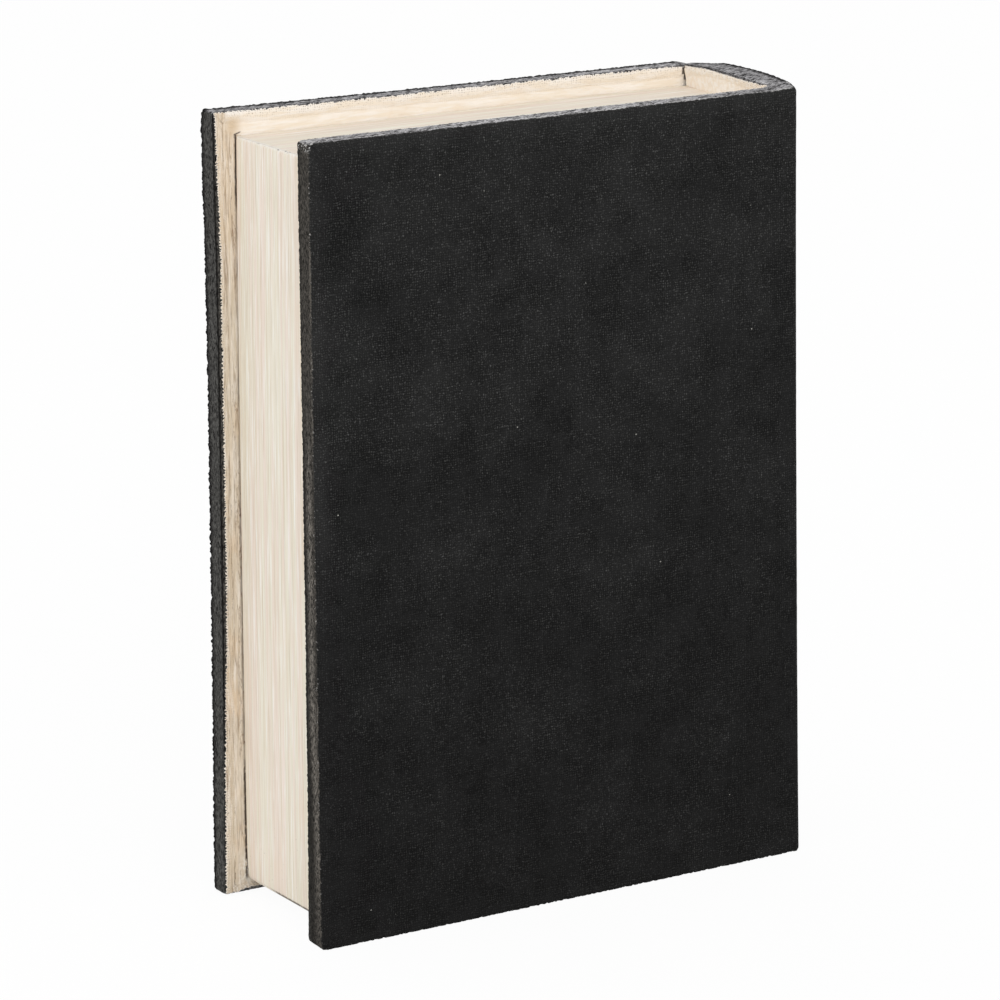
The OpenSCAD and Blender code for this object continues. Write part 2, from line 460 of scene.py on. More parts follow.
def creamCoat(place):
    # Strokes run across the boards, but upright on the strip beside the page block, where an ochre
    # stain lies that is partly painted shade from the block. Warm patches and thin spots lie over the
    # strokes, with a brown line of soiling and painted shade along the block, and painted shade in the
    # open joint. Gives the colour and the height of the coat
    x, y, z = split(place)
    edge = cream["foreEdge"]
    beyond = remap(z, blockTop - 1 * mm, blockTop + 3 * mm, 0.0, 6.5 * mm)
    strip = remap(calc("ADD", x, beyond), edge + 4 * mm, edge + 1 * mm)
    strokes, bristles = (
        mixValue(strip, *(fibres(place, along, *cream[kind]) for along in "xz"))
        for kind in ("strokes", "bristles")
    )
    patches = noise(place, *cream["patches"])
    streaks = fibres(place, "z", *cream["streaks"])
    depth = remap(x, edge - 7 * mm, edge - 0.5 * mm, 0.66, 0.62)
    stainAndShade = product(strip, depth, remap(streaks, 0.34, 0.6, 0.35, 1.0))
    orange = remap(noise(place, *cream["orangePlaces"]), 0.5, 0.66)
    orange = highest(orange, remap(z, *cream["orangeHead"], 0.0, 0.7))
    vein = bell(fibres(place, "z", *cream["veins"]), 0.48, 0.035)
    chalky = product(
        bell(z, blockFoot + 3 * mm, 8 * mm),
        bell(x, edge - 1.5 * mm, 5 * mm),
        remap(noise(place, *cream["chalkPlaces"]), 0.42, 0.58),
    )
    colour = layered(
        cream["body"],
        (remap(strokes, 0.38, 0.62), cream["light"]),
        (remap(patches, 0.5, 0.74, 0.0, 0.45), cream["warm"]),
        (remap(bristles, 0.6, 0.78, 0.0, 0.2), cream["stain"]),
        # The ochre on the strip is partly a stain and partly painted shade from the page block
        (stainAndShade, blendColours(orange, cream["ochre"], cream["orange"])),
        (product(vein, remap(streaks, 0.35, 0.6, 0.2, 0.6), strip), cream["crack"]),
        (headPatch(x, y, z, patches), cream["orange"]),
        (product(chalky, strip), cream["chalk"]),
        (product(crackle(place, x), strip), cream["crack"]),
        # Soiling and painted shade in the gap where the block meets the lid
        (dirtAndShadeLine(place, x, z), cream["grimeAndShade"]),
        # Painted shade of the open joint between the spine and the lid
        (paintedJointShade(place, x, y, z), cream["bare"]),
    )
    height = scaled(bristles, 0.35, strokes)
    return colour, scaled(noise(place, *cream["grain"]), 0.16, height)


def boardPaint(name):
    # Painted wood for the inner faces of the boards and of the spine
    material, place = newMaterial(name)
    colour, height = creamCoat(place)
    roughness = remap(noise(place, *cream["gloss"]), 0.3, 0.7, 0.5, 0.72)
    return finishMaterial(material, colour, roughness, 0.3, Normal=bump(height, 0.25 * mm, 0.8))


pageLook = {
    "cool": tone(240, 234, 217),
    "pink": tone(242, 228, 215),
    "tan": tone(228, 211, 186),
    "white": tone(253, 250, 244),
    "deep": tone(196, 174, 146),
    "foot": tone(96, 88, 80),
    "wash": tone(220, 206, 192),
    "hue": (7, 300, (1, 8, 5), 2.0, 0.5),
    "sand": (8, 800, (7, 2, 3), 2.0, 0.5),
    "chalky": (36, 1350, (4, 9, 6), 3.0, 0.65),
    "hairs": (26, 2500, (5, 2, 9), 2.0),
    "strokes": (22, 420, (2, 6, 1), 4.0, 0.65, 0.5),
    "patches": (24.0, 3.0),
    "ragged": (900.0, 2.0),
    "nicks": (260.0, 3.0, 0.7),
    "footDepth": (14 * mm, 6 * mm),
    "nickDepth": (20 * mm, 5 * mm),
    "freckleHeight": (50 * mm, 10 * mm),
}


def pagePaint(name, along, wash):
    # Painted page edges: stripes are noise that hardly changes along the pages. Cool, pinkish and tan
    # stripes lie under white streaks and fine dark lines, and the grooves are darker by painted shade.
    # The rim is worn pale at the fore-edge, with nicks, and a line of painted shade runs along the foot
    material, place = newMaterial(name)
    x, y, z = split(place)
    kinds = ("hue", "sand", "chalky", "hairs", "strokes")
    hue, sand, chalky, hairs, strokes = (fibres(place, along, *pageLook[kind]) for kind in kinds)
    kinds = ("patches", "ragged", "nicks")
    patches, ragged, nicks = (noise(place, *pageLook[kind]) for kind in kinds)
    arris = product(bell(z, blockTop, 1.3 * mm), bell(x, cream["foreEdge"], 1.5 * mm))
    # Painted shade along the foot of the block
    foot = product(
        bell(z, blockFoot + 0.95 * mm, 0.85 * mm),
        remap(ragged, 0.25, 0.42),
        remap(y, *pageLook["footDepth"], 0.1, 1.0),
    )
    nicked = product(
        remap(arris, 0.4, 0.8),
        remap(nicks, 0.57, 0.62, 0.0, 0.8),
        remap(y, *pageLook["nickDepth"]),
    )
    low = remap(z, *pageLook["freckleHeight"])
    colour = layered(
        pageLook["cool"],
        (remap(hue, 0.4, 0.6), pageLook["pink"]),
        (remap(sand, 0.44, 0.68, 0.0, 0.4), pageLook["tan"]),
        (remap(chalky, 0.5, 0.66, 0.0, 0.8), pageLook["white"]),
        (remap(hairs, 0.53, 0.7, 0.0, 0.4), pageLook["deep"]),
        (remap(patches, 0.5, 0.75, 0.0, 0.3), cream["warm"]),
        # Painted shade in the page grooves, by their depth
        (remap(mark(place, "pageDepth"), 0.2, 1.0, 0.0, 0.3), pageLook["deep"]),
        (product(remap(strokes, 0.36, 0.6, 0.15, 1.0), wash), pageLook["wash"]),
        (product(arris, remap(ragged, 0.35, 0.6, 0.9, 0.5)), pageLook["white"]),
        (foot, pageLook["foot"]),
        (nicked, pageLook["foot"]),
        (product(remap(ragged, 0.7, 0.74, 0.0, 0.4), low), pageLook["foot"]),
    )
    relief = bump(scaled(hairs, 0.5, chalky), 0.14 * mm, 0.7)
    return finishMaterial(material, colour, 0.62, 0.3, Normal=relief)


# Black canvas: a plain weave under matt black paint, worn at the arrises

canvas = {
    "pitch": 0.85 * mm,
    "threadStep": 1.15 * mm,
    "drift": 1.7 * mm,
    "wobbleScale": 420.0,
    "speckScale": 105.0,
    "speckSize": 0.034,
    "black": tone(20, 20, 20),
    "calm": tone(32, 32, 32),
    "crown": tone(50, 50, 49),
    "dustAndHighlight": tone(92, 92, 91),
    "speck": tone(200, 198, 190),
    "nearEdgeAndHighlight": (tone(21, 20, 18), tone(147, 141, 133)),
    "edgeLid": (tone(16, 15, 15), tone(101, 100, 97)),
    "endsWearAndSheen": (tone(46, 45, 46), tone(212, 210, 212)),
    "rubbedAndHighlight": tone(128, 122, 114),
    "chalk": tone(206, 204, 202),
    "dirtAndShade": tone(14, 12, 12),
    "fringe": tone(250, 246, 240),
    "cut": tone(104, 78, 54),
    "front": -30 * mm,
    "cornerSide": -97.5 * mm,
    "spineSide": 83 * mm,
    "spineEnd": 28.7 * mm,
    "scuffs": (1250.0, 2.0, 0.6),
    "fadeAndTopLight": (30.0, 3.5, 0.6, 0.4),
    "mottle": (150.0, 3.0, 0.6),
    "lint": (1700.0, 2.0, 0.7),
    "chips": (1500.0, 2.0),
    "ragged": (1150.0, 2.0, 0.6),
    "slow": (75.0, 3.0, 0.6),
    "uprightFibres": (620, 1900, (2, 5, 8), 4.0, 0.75),
    "levelFibres": (420, 1200, (6, 1, 4), 5.0, 0.75),
}


def plainWeave(flat):
    # One thread along each axis; at every second crossing the other thread lies on top.
    # A thread is a half sine across, and rises and dips by a half sine along its own run.
    # Gives the height and a random number for each crossing
    sockets = {"Vector": flat, "Scale": canvas["wobbleScale"], "Detail": 3.0}
    wobble = addNode("TexNoise", sockets).outputs["Color"]
    centred = addNode("VectorMath", {0: wobble, 1: (0.5, 0.5, 0.5)}, operation="SUBTRACT").outputs[0]
    drift = addNode("VectorMath", {0: centred, "Scale": canvas["drift"]}, operation="SCALE").outputs[0]
    bent = addNode("VectorMath", {0: flat, 1: drift}, operation="ADD").outputs[0]
    threads = [calc("DIVIDE", run, canvas["pitch"]) for run in split(bent)[:2]]
    rounds = [calc("SINE", product(calc("FRACT", run), math.pi)) for run in threads]
    numbers = [calc("FLOOR", run) for run in threads]
    odd = calc("FLOORED_MODULO", calc("ADD", *numbers), 2.0)
    side = scaled(odd, -2.0, 1.0)
    heights = []
    for across, along, sign in ((0, 1, 0.42), (1, 0, -0.42)):
        lift = product(rounds[along], side, sign)
        chance = addNode("TexWhiteNoise", {"W": numbers[across]}, noise_dimensions="1D").outputs[0]
        full = scaled(chance, 0.18, 0.5)
        heights.append(product(rounds[across], calc("ADD", lift, full)))
    crossing = addNode("CombineXYZ", {0: numbers[0], 1: numbers[1]}).outputs[0]
    each = addNode("TexWhiteNoise", {"Vector": crossing}, noise_dimensions="2D").outputs[0]
    return highest(*heights), each


def faceCloth(place, z, flat, weave, each, fold):
    # The painted face: crowns of single crossings catch the light as a painted highlight on partly worn
    # paint, in dusty patches that are more frequent near the arris and towards the head, where the rise
    # is painted light from above. Here and there lies a speck, and the face darkens towards the tail as
    # painted shade
    kinds = ("scuffs", "fadeAndTopLight", "mottle", "lint")
    scuffs, fadeAndTopLight, mottle, lint = (noise(place, *canvas[kind]) for kind in kinds)
    # The rise towards the head is painted light from above
    fadeAndTopLight = calc("ADD", fadeAndTopLight, remap(z, 0.0, bookHeight, -0.1, 0.07))
    # Lighter crowns: partly worn paint, partly a painted highlight
    crowns = product(remap(weave, 0.5, 0.95), remap(scuffs, 0.35, 0.65, 0.1, 1.0))
    colour = blendColours(crowns, canvas["black"], canvas["crown"])
    lit = product(
        calc("POWER", each, 2.0),
        remap(weave, 0.58, 0.94),
        remap(scuffs, 0.4, 0.62),
        remap(fadeAndTopLight, 0.3, 0.66, 0.22, 0.72),
    )
    lint = product(remap(lint, 0.6, 0.7, 0.0, 0.5), remap(fadeAndTopLight, 0.3, 0.6, 0.5, 1.0))
    beside = product(remap(fold, -7.0, -0.6, 0.0, 0.06), remap(z, 70 * mm, 150 * mm, 0.35, 1.0))
    film = calc("ADD", remap(fadeAndTopLight, 0.4, 0.8, 0.0, 0.07), beside)
    specks = addNode("TexVoronoi", {"Vector": flat, "Scale": canvas["speckScale"], "Randomness": 1.0})
    chance = addNode("SeparateColor", {0: specks.outputs["Color"]}).outputs[0]
    dot = calc("LESS_THAN", specks.outputs["Distance"], remap(chance, 0.35, 1.0, 0.0, canvas["speckSize"]))
    return layered(
        canvas["calm"],
        (remap(mottle, 0.4, 0.6, 0.28, 0.82), colour),
        (lit, canvas["dustAndHighlight"]),
        (lint, canvas["dustAndHighlight"]),
        (film, canvas["dustAndHighlight"]),
        (product(dot, 0.5), canvas["speck"]),
        # Painted shade: the face darkens towards the tail
        (remap(z, 210 * mm, -20 * mm, 0.0, 0.27), canvas["dirtAndShade"]),
    )


def foldedEdge(place, x, y, z):
    # Fibres run along the edge, brown-grey or blue-grey at the fore-edge and pale at head and tail,
    # where the pale grey is partly wear and partly painted sheen of light glancing off the ends. A
    # painted highlight down the middle of the near edge climbs from the tail, and the strips at the ends
    # have their own levels of that painted sheen along the boards and on the spine
    near = remap(y, canvas["front"] + 3 * mm, canvas["front"])
    turned, ends = mark(place, "turned"), mark(place, "ends")
    # Painted highlight down the middle of the near edge, climbing from the tail
    nearHighlight = bell(turned, remap(z, 30 * mm, 90 * mm, -6.4, -4.4), 3.4)
    nearHighlight = product(nearHighlight, remap(z, 0.0, 50 * mm, 0.3, 0.75))
    nearHighlight = mixValue(remap(z, 190 * mm, 150 * mm), 0.35, calc("ADD", nearHighlight, 0.12))
    upright = remap(fibres(place, "z", *canvas["uprightFibres"]), 0.36, 0.66)
    level = remap(fibres(place, "x", *canvas["levelFibres"]), 0.42, 0.58)
    nearColour = blendColours(product(upright, nearHighlight), *canvas["nearEdgeAndHighlight"])
    lidColour = blendColours(upright, *canvas["edgeLid"])
    sideColour = blendColours(near, lidColour, nearColour)
    spineSide = canvas["spineSide"]
    onSpine = product(remap(x, spineSide, spineSide + 4 * mm), opposite(near))
    # Levels of the painted sheen on the end strips
    level = product(
        level,
        scaled(near, 0.16, scaled(onSpine, -0.27, 0.84)),
        remap(x, 30 * mm, 70 * mm, 1.0, mixValue(near, 1.26, 0.7)),
        remap(x, -75 * mm, -45 * mm, 0.82, 1.0),
    )
    return blendColours(ends, sideColour, blendColours(level, *canvas["endsWearAndSheen"]))


def wornEdge(place, x, y, z, colour, ragged, slow):
    # The folded edge over the painted face: the outer arris is pale on the near board, partly from
    # wear and partly a painted highlight, and dark on the lid; the inner one is darker, and the near
    # corner at the head is chipped
    fold, turned, ends = (mark(place, name) for name in ("fold", "turned", "ends"))
    near = remap(y, canvas["front"] + 3 * mm, canvas["front"])
    share = remap(scaled(ragged, 0.6, slow), 0.78, 0.88, 0.15, 1.0)
    # Pale outer arris of the near board: partly wear, partly a painted highlight
    rubAndHighlight = product(bell(fold, 1.15, 0.8), share, near, scaled(ends, 0.4, 0.45))
    flecks = product(remap(ragged, 0.64, 0.68), bell(fold, 1.0, 1.0), near, 0.55)
    outline = product(
        mixValue(ends, remap(fold, 3.2, 0.8), remap(fold, 3.9, 2.2)),
        remap(fold, -1.5, -0.5, 0.0, 0.92),
        opposite(near),
    )
    nearSide = product(near, opposite(ends))
    # Darker along the inner arris
    dirtAndShade = bell(turned, mixValue(nearSide, -0.1, -0.4), mixValue(nearSide, 0.8, 1.9))
    dirtAndShade = product(dirtAndShade, mixValue(nearSide, scaled(ends, -0.2, 0.9), 0.6))
    chips = product(
        remap(noise(place, *canvas["chips"]), 0.56, 0.6),
        remap(x, canvas["cornerSide"] + 4 * mm, canvas["cornerSide"]),
        remap(z, bookHeight - 3.5 * mm, bookHeight - 1 * mm),
        remap(fold, 0.0, 0.5),
        near,
    )
    return layered(
        colour,
        (remap(shifted(fold, ragged, 0.9), 0.75, 1.35), foldedEdge(place, x, y, z)),
        (rubAndHighlight, blendColours(ends, canvas["rubbedAndHighlight"], canvas["chalk"])),
        (flecks, canvas["chalk"]),
        (outline, canvas["dirtAndShade"]),
        (dirtAndShade, canvas["dirtAndShade"]),
        (chips, canvas["chalk"]),
    )


def paintBorder(place, x, y, z, ragged, slow):
    # How far a point of the turned-in cloth lies past the edge of the paint, in millimetres. The edge
    # strays by two noises and by a sine along the threads, and lies further in at mid-height
    turned, ends = mark(place, "turned"), mark(place, "ends")
    teeth = shifted(product(calc("SUBTRACT", ragged, 0.5), 1.6), slow, 0.9)
    phase = scaled(slow, 60.0, product(z, 2 * math.pi / canvas["threadStep"]))
    saw = product(calc("SINE", phase), scaled(ends, -0.26, 0.26))
    further = product(remap(z, 40 * mm, 110 * mm, -0.25, 1.0), remap(z, 262 * mm, 235 * mm, 0.4, 1.0))
    onSpine = product(
        remap(x, canvas["spineSide"], canvas["spineSide"] + 2 * mm),
        calc("LESS_THAN", y, canvas["spineEnd"]),
    )
    atTail = product(
        remap(z, 20 * mm, 10 * mm),
        remap(x, -95.5 * mm, -92 * mm),
        calc("GREATER_THAN", y, 0.0),
    )
    nearEnd = mixValue(atTail, remap(y, -24 * mm, -27 * mm, -0.45, -1.1), 0.55)
    further = mixValue(ends, further, mixValue(onSpine, nearEnd, 0.0))
    teeth = product(calc("ADD", teeth, saw), scaled(ends, 0.7, 1.0), scaled(onSpine, -0.65, 1.0))
    return calc("SUBTRACT", calc("ADD", turned, teeth), further)


def canvasPaint():
    # Black cloth, and cream paint over what is turned in, with a pale fringe at its border, dark gaps
    # of the weave and a brown line at the cut edge
    material, place = newMaterial("bookCanvas")
    flat = addNode("UVMap", {}, place.id_data, uv_map="clothMap").outputs[0]
    x, y, z = split(place)
    weave, each = plainWeave(flat)
    turned = mark(place, "turned")
    ragged, slow = (noise(place, *canvas[kind]) for kind in ("ragged", "slow"))
    colour = faceCloth(place, z, flat, weave, each, mark(place, "fold"))
    colour = wornEdge(place, x, y, z, colour, ragged, slow)
    border = paintBorder(place, x, y, z, ragged, slow)
    painted = remap(border, 0.3, 0.42)
    coat, strokes = creamCoat(place)
    gaps = product(remap(weave, 0.5, 0.25), remap(turned, 3.6, 0.3, 0.0, 0.6), remap(ragged, 0.4, 0.6))
    cutLine = product(
        bell(turned, shifted(scaled(ragged, 0.7, 4.1), slow, 3.0), 0.32),
        remap(slow, 0.36, 0.5, 0.4, 1.0),
        remap(z, blockTop, blockTop - 5 * mm),
        opposite(mark(place, "ends")),
    )
    coat = layered(
        coat,
        (product(bell(border, 0.5, 0.35), 0.7), canvas["fringe"]),
        (gaps, canvas["cut"]),
        (cutLine, canvas["cut"]),
    )
    relief = product(weave, scaled(painted, -0.5, 1.0))
    relief = scaled(strokes, product(painted, 0.8), relief)
    colour = blendColours(painted, colour, coat)
    roughness = remap(slow, 0.3, 0.7, 0.7, 0.9)
    return finishMaterial(material, colour, roughness, 0.05, Normal=bump(relief, 0.16 * mm, 1.0))


nickelLook = {
    "light": tone(196, 192, 186),
    "dark": tone(166, 160, 152),
    "patches": 900.0,
    "streaks": (300, 4000, (0, 0, 0)),
}


def nickelPlate():
    # Plated metal with fine streaks and slightly darker patches
    material, place = newMaterial("nickelPlate")
    streaks = fibres(place, "y", *nickelLook["streaks"])
    patches = remap(noise(place, nickelLook["patches"]), 0.4, 0.7)
    colour = blendColours(patches, nickelLook["light"], nickelLook["dark"])
    roughness = remap(streaks, 0.3, 0.7, 0.2, 0.38)
    relief = bump(streaks, 0.01 * mm, 0.5)
    return finishMaterial(material, colour, roughness, 0.5, Normal=relief, Metallic=1.0)


# Canvas pieces: a face, and a band that folds over its edges and in over the inside of the board

wrap = {
    "step": 1.65 * mm,
    "split": 4,
    "inner": 3.3 * mm,
    "innerArris": 0.5 * mm,
    "thick": 0.7 * mm,
    "sink": 0.25 * mm,
    "reach": 15 * mm,
    "lumps": 0.3 * mm,
    "lumpSize": 0.85 * mm,
    "acrossShare": 0.3,
    "arrisShare": 0.215,
    "farOff": 10.5 * mm,
    "cornerFade": 5 * mm,
    "waves": 0.12 * mm,
    "waveSize": 26 * mm,
    "spread": 60 * mm,
    "calmSide": (88.5 * mm, 90 * mm),
    "calmFace": (24 * mm, 27 * mm),
}


def bandProfile(depth, arris):
    # Rings from the face to the cut edge, as rows of (inset, depth, share of the turn-in). The
    # turned-in cloth thins out under the paint until it lies just below the board's face
    r, q, inner = arris, wrap["innerArris"], wrap["inner"]
    rows = [(inset, 0, 0) for inset in np.linspace(inner, r, 5)]
    for a in np.radians([22.5, 45, 67.5, 90]):
        rows.append((r * (1 - math.sin(a)), r * (1 - math.cos(a)), 0))
    for d in np.linspace(r, depth - q, 8)[1:]:
        rows.append((0, d, 0))
    for b in np.radians([30, 60, 90]):
        rows.append((q * (1 - math.cos(b)), depth - q * (1 - math.sin(b)), 0))
    for share in (0.12, 0.3, 0.5, 0.68, 0.84, 1.0):
        fall = (wrap["thick"] + wrap["sink"]) * float(smoothStep(share, 0.3, 1.0))
        rows.append((q, depth - fall, share))
    return np.array(rows)


def splitLine(values, parts, closed):
    # The same number of even steps between each value and the next
    if closed:
        values = np.append(values, values[0])
    spot = np.arange((len(values) - 1) * parts + (0 if closed else 1)) / parts
    return np.interp(spot, np.arange(len(values)), values)


def stitch(coarse, fine, parts, closed):
    # One many-sided face between each edge of a coarse line and the short edges of a fine one
    count = len(coarse) - (0 if closed else 1)
    k = np.arange(count)
    after = coarse[(k + 1) % len(coarse)]
    small = fine[(k[:, None] * parts + np.arange(parts + 1)) % len(fine)]
    return np.column_stack([after, coarse[k], small])


def faceGrid(far):
    # The grid of the face over s and z: the two distances, and a table of its vertex numbers
    inner, step = wrap["inner"], wrap["step"]
    sLine = np.linspace(inner, far, int((far - inner) / step))
    zLine = np.linspace(inner, bookHeight - inner, int((bookHeight - 2 * inner) / step))
    numbers = np.arange(len(sLine) * len(zLine)).reshape(len(sLine), len(zLine))
    faceS, faceZ = (v.ravel() for v in np.meshgrid(sLine, zLine, indexing="ij"))
    return faceS, faceZ, numbers


def faceBorder(numbers, closed):
    # Vertex numbers along the tail, the fore-edge and the head of the face, and along its fourth side
    # where the band is closed
    sides = [numbers[::-1, 0], numbers[0, 1:-1], numbers[:, -1]]
    if closed:
        sides.append(numbers[-1, -2:0:-1])
    return np.concatenate(sides)


def roundCorner(s, z, sides, r, far):
    # What lies outside the circle of a corner is drawn onto it
    fore, tail, head = sides[:3]
    midS = np.clip(s, fore + r, far - r)
    midZ = np.clip(z, tail + r, bookHeight - head - r)
    pull = np.minimum(1, r / np.maximum(np.hypot(s - midS, z - midZ), 1e-9))
    return midS + (s - midS) * pull, midZ + (z - midZ) * pull


def bandRings(cut, edgeS, edgeZ, far, rows):
    # A ring is the rectangle of the face moved out to its inset on each side, with round corners, and
    # its depth is a share of the way from the outer point of the section to the inner one
    inner, reach, corners, depth = wrap["inner"], wrap["reach"], cut["shape"]["corners"], cut["depth"]
    toFore = np.clip(1 - (edgeS - inner) / reach, 0, 1)
    toTail = np.clip(1 - (edgeZ - inner) / reach, 0, 1)
    toHead = np.clip(1 - (bookHeight - inner - edgeZ) / reach, 0, 1)
    toBack = np.clip(1 - (far - edgeS) / reach, 0, 1) * cut["closed"]
    width = cut["turnIn"](edgeS, edgeZ)
    turned = {side: wide - wrap["innerArris"] for side, wide in width.items()}
    rings = []
    for inset, down, share in rows:
        sides = [inset + share * turned[side] for side in ("fore", "tail", "head", "back")]
        fore, tail, head, back = sides
        s = edgeS - toFore * (inner - fore) + toBack * (inner - back)
        z = edgeZ - toTail * (inner - tail) + toHead * (inner - head)
        r = corners[0] + (corners[1] - corners[0]) * down / depth - inset - share * wrap["cornerFade"]
        if r > 0:
            s, z = roundCorner(s, z, sides, r, cut["length"] - back if cut["closed"] else 1.0)
        outer, inside = cut["plan"](s)
        rings.append(np.column_stack([outer + (inside - outer) * down / depth, z]))
    return np.array(rings)


def canvasPiece(name, cut):
    # The plan of a cut gives the outer point and the inner point of its section at the distance s along
    # the face. The face is a grid over s and z, and the band is a finer one over the border of the face
    # and the profile. The mesh carries its distances past the outer arris and past the inner one
    plan, length, closed = cut["plan"], cut["length"], cut["closed"]
    inner, parts, arris = wrap["inner"], wrap["split"], cut["shape"]["arris"]
    far = length - inner if closed else length
    faceS, faceZ, numbers = faceGrid(far)
    around = faceBorder(numbers, closed)
    edgeS, edgeZ = (splitLine(line[around], parts, closed) for line in (faceS, faceZ))
    rows = bandProfile(cut["depth"], arris)
    rings = bandRings(cut, edgeS, edgeZ, far, rows)
    run = np.cumsum(np.linalg.norm(np.diff(rings, axis=0, prepend=rings[:1]), axis=2), axis=0)
    rings, run = rings[1:], run[1:]
    outerArris, innerArris = run[5], run[len(rows) - 9]
    tiny = 1e-7
    onTail, onHead = edgeZ <= inner + tiny, edgeZ >= bookHeight - inner - tiny
    outS = (closed & (edgeS >= far - tiny)) * 1.0 - (edgeS <= inner + tiny)
    outZ = onHead * 1.0 - onTail
    face = np.column_stack([faceS, faceZ])
    band = np.column_stack([(edgeS + outS * run).ravel(), (edgeZ + outZ * run).ravel()])
    toEdge = np.minimum(np.minimum(faceS, faceZ), bookHeight - faceZ)
    if closed:
        toEdge = np.minimum(toEdge, length - faceS)
    plain = np.zeros(len(face))
    marks = {
        "fold": np.concatenate([wrap["arrisShare"] * arris - toEdge, (run - outerArris).ravel()]) / mm,
        "turned": np.concatenate([plain - wrap["farOff"], (run - innerArris).ravel()]) / mm,
        "ends": np.concatenate([plain, np.tile(np.maximum(onTail, onHead) * 1.0, len(rings))]),
    }
    points = np.concatenate([np.column_stack([plan(faceS)[0], faceZ]), rings.reshape(-1, 3)])
    table = len(face) + np.arange(rings.shape[0] * rings.shape[1]).reshape(rings.shape[:2])
    quads = np.concatenate([gridFaces(numbers)[:, ::-1], gridFaces(table, closed)])
    joins = stitch(around, table[0], parts, closed)
    walk = np.cumsum(np.hypot(np.diff(edgeS, prepend=edgeS[:1]), np.diff(edgeZ, prepend=edgeZ[:1])))
    threads = np.column_stack([np.tile(walk, len(rings)), wrap["acrossShare"] * run.ravel()])
    points = cut["hand"](points)
    piece = makePiece(name, points, quads, joins.tolist(), np.concatenate([face, band]), marks)
    faceOutwards(piece, plan)
    roughen(piece, points, np.concatenate([face, threads]), edgeStrength(marks))
    piece.data.materials.append(clothMaterial)
    return piece


def faceOutwards(piece, plan):
    # The faces are turned over if the first one looks from the outer point to the inner one
    outer, inside = plan(np.array([wrap["inner"]]))
    inward = Vector((*(inside - outer)[0], 0))
    if piece.data.polygons[0].normal.dot(inward) > 0:
        piece.data.flip_normals()


caseShape = {
    "spineRadius": 110 * mm,
    "crownShift": 2 * mm,
    "rollRadius": 3 * mm,
    "noseRadius": 5 * mm,
    "turnIn": 5.4 * mm,
    "tailTurnIn": 3.8 * mm,
    "cornerTurn": 1.2 * mm,
    "cornerRun": 6 * mm,
    "cornerEnd": -27 * mm,
    "arris": 1.4 * mm,
    "corners": (0.8 * mm, 1.4 * mm),
    "flare": 2.4 * mm,
    "headFlat": 0.9 * mm,
    "cornerSwell": 1.1 * mm,
    "lean": 0.5 * mm,
    "tailLean": 0.5 * mm,
    "square": 0.95,
    "headRise": 0.42 * mm,
    "endRise": 0.25 * mm,
    "spineRise": 1.4 * mm,
    "skew": 3.0 * mm,
    "footSwell": 0.5 * mm,
    "swellHeight": 40 * mm,
    "swellSide": (80 * mm, 92 * mm),
    "swellFace": (-34 * mm, -29 * mm),
    "riseSide": (81 * mm, 87 * mm),
    "riseNear": (-38.5 * mm, -29.5 * mm),
    "riseFar": (11 * mm, 27 * mm),
    "footFace": (-36 * mm, -31 * mm),
    "flareSide": (40 * mm, 90 * mm),
    "flareFace": (-28 * mm, 8 * mm),
    "skewStart": (74 * mm, 76 * mm),
    "skewEnd": (86 * mm, 91 * mm),
}


def casePath():
    # The outside of the case in plan: a line along the back cover, the roll, the long arc of the
    # spine and the nose, each an arc sampled by its angle. Gives the run, the points and the marks
    # where the arcs meet
    wide, roll, nose = caseShape["spineRadius"], caseShape["rollRadius"], caseShape["noseRadius"]
    centre = np.array([cadHigh.x - wide, caseShape["crownShift"]])
    backY, noseY = baseLow.y, spineHigh.y

    def onArc(radius, y):
        # The point at that y on the circle of that radius about the spine's centre
        return np.array([centre[0] + math.sqrt(radius**2 - (y - centre[1]) ** 2), y])

    def arc(about, radius, start, stop, count):
        # Points on a circle between two angles
        t = np.linspace(start, stop, count)
        return about + radius * np.column_stack([np.cos(t), np.sin(t)])

    rollAt = onArc(wide - roll, backY + roll)
    noseAt = onArc(wide - nose, noseY - nose)
    low = math.atan2(*(rollAt - centre)[::-1])
    high = math.atan2(*(noseAt - centre)[::-1])
    parts = [
        np.array([[cadLow.x, backY], [rollAt[0], backY]]),
        arc(rollAt, roll, -math.pi / 2, low, 24)[1:],
        arc(centre, wide, low, high, 160)[1:],
        arc(noseAt, nose, high, math.pi / 2, 24)[1:],
    ]
    path = np.concatenate(parts)
    run = np.concatenate([[0], np.cumsum(np.linalg.norm(np.diff(path, axis=0), axis=1))])
    return run, path


caseRun, caseLine = casePath()


def casePlan(s):
    # Outer point by the run along the case; inner point on the inner face of the base board, round
    # the corner, and up the inner face of the spine
    outer = np.column_stack([np.interp(s, caseRun, caseLine[:, i]) for i in (0, 1)])
    turn = caseShape["cornerTurn"]
    cornerX, cornerY, topY = spineLow.x, baseHigh.y, mouldHigh.y
    rising = slice(60, 150)  # Points of the spine's arc, where y grows with the run
    turned = float(np.interp(caseShape["cornerEnd"], caseLine[rising, 1], caseRun[rising]))
    knots = [0, cornerX - turn - cadLow.x, cornerX - cadLow.x + caseShape["cornerRun"]]
    knots += [turned, float(caseRun[-1])]
    knotX = [cadLow.x, cornerX - turn, cornerX, cornerX, cornerX]
    knotY = [cornerY, cornerY, cornerY + turn * 0.5, cornerY + turn * 1.6, topY]
    inside = np.column_stack([np.interp(s, knots, knotX), np.interp(s, knots, knotY)])
    return outer, inside


def caseTurnIn(s, z):
    # The width of the turned-in cloth on each side; the case has none at the joint
    wide = caseShape["turnIn"]
    return {"fore": wide, "tail": caseShape["tailTurnIn"], "head": wide, "back": 0.0}


